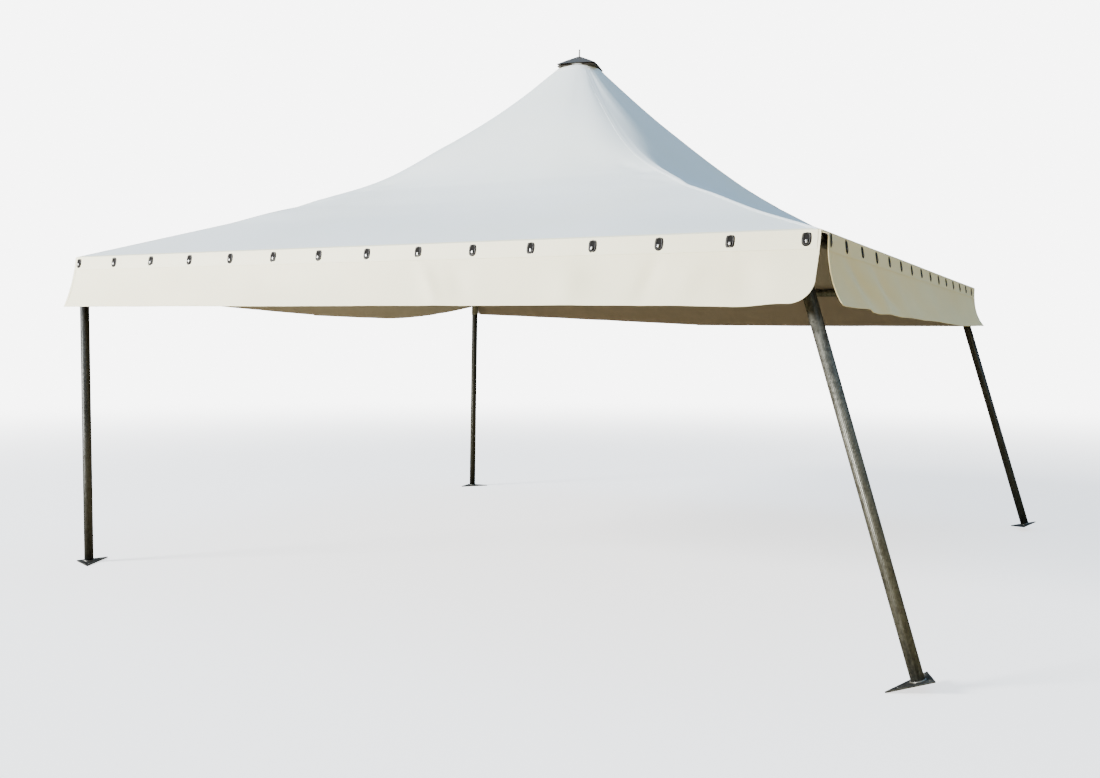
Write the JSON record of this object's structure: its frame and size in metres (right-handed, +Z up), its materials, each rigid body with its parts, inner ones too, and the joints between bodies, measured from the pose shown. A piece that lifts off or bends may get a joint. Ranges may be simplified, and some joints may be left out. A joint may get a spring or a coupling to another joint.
{
  "type": "gazebo tent",
  "caption": "Square pagoda tent with a peaked fabric roof, metal cap and eyeleted valances on a steel tube frame, its legs upright on the left and raked outward on the right",
  "frame": {"origin": "On the ground, at the middle of the bounding box seen from above.", "axes": "+Z is up, +X runs toward the side with the raked legs and -Y is the front. The roof leans 1.0 degree down toward +X, because the raked legs are about as long as the upright ones. The mast stands at x = -0.20 m, because the raked legs reach out on the right only."},
  "size_m": [5.638, 5.208, 3.7104],
  "materials": {
    "roof_fabric": "white coated tent fabric, slightly glossy",
    "valance_fabric": "cream white coated tent fabric",
    "eyelet_band": "doubled cream fabric with oval nickel eyelets and turn buttons",
    "galvanised_steel": "weathered dark grey galvanised tube",
    "foot_plate_steel": "dark steel plate",
    "cap_metal": "dark grey sheet metal",
    "spike_metal": "bright metal rod"
  },
  "bodies": {
    "root": {"front_left_leg": "galvanised_steel", "front_right_leg": "galvanised_steel", "rear_right_leg": "galvanised_steel", "rear_left_leg": "galvanised_steel", "front_left_foot_plate": "foot_plate_steel", "front_right_foot_plate": "foot_plate_steel", "rear_right_foot_plate": "foot_plate_steel", "rear_left_foot_plate": "foot_plate_steel", "front_left_corner_fitting": "galvanised_steel", "front_right_corner_fitting": "galvanised_steel", "rear_right_corner_fitting": "galvanised_steel", "rear_left_corner_fitting": "galvanised_steel", "front_eave_beam": "galvanised_steel", "right_eave_beam": "galvanised_steel", "rear_eave_beam": "galvanised_steel", "left_eave_beam": "galvanised_steel", "front_left_hip_rafter": "galvanised_steel", "front_right_hip_rafter": "galvanised_steel", "rear_right_hip_rafter": "galvanised_steel", "rear_left_hip_rafter": "galvanised_steel", "crown_hub": "galvanised_steel", "mast": "galvanised_steel", "mast_head": "galvanised_steel", "crown_cap": "cap_metal", "finial_spike": "spike_metal", "front_roof_gore": "roof_fabric", "right_roof_gore": "roof_fabric", "rear_roof_gore": "roof_fabric", "left_roof_gore": "roof_fabric", "front_valance": "valance_fabric", "right_valance": "valance_fabric", "rear_valance": "valance_fabric", "left_valance": "valance_fabric", "front_eyelet_band": "eyelet_band", "right_eyelet_band": "eyelet_band", "rear_eyelet_band": "eyelet_band", "left_eyelet_band": "eyelet_band"}
  },
  "joints": []
}
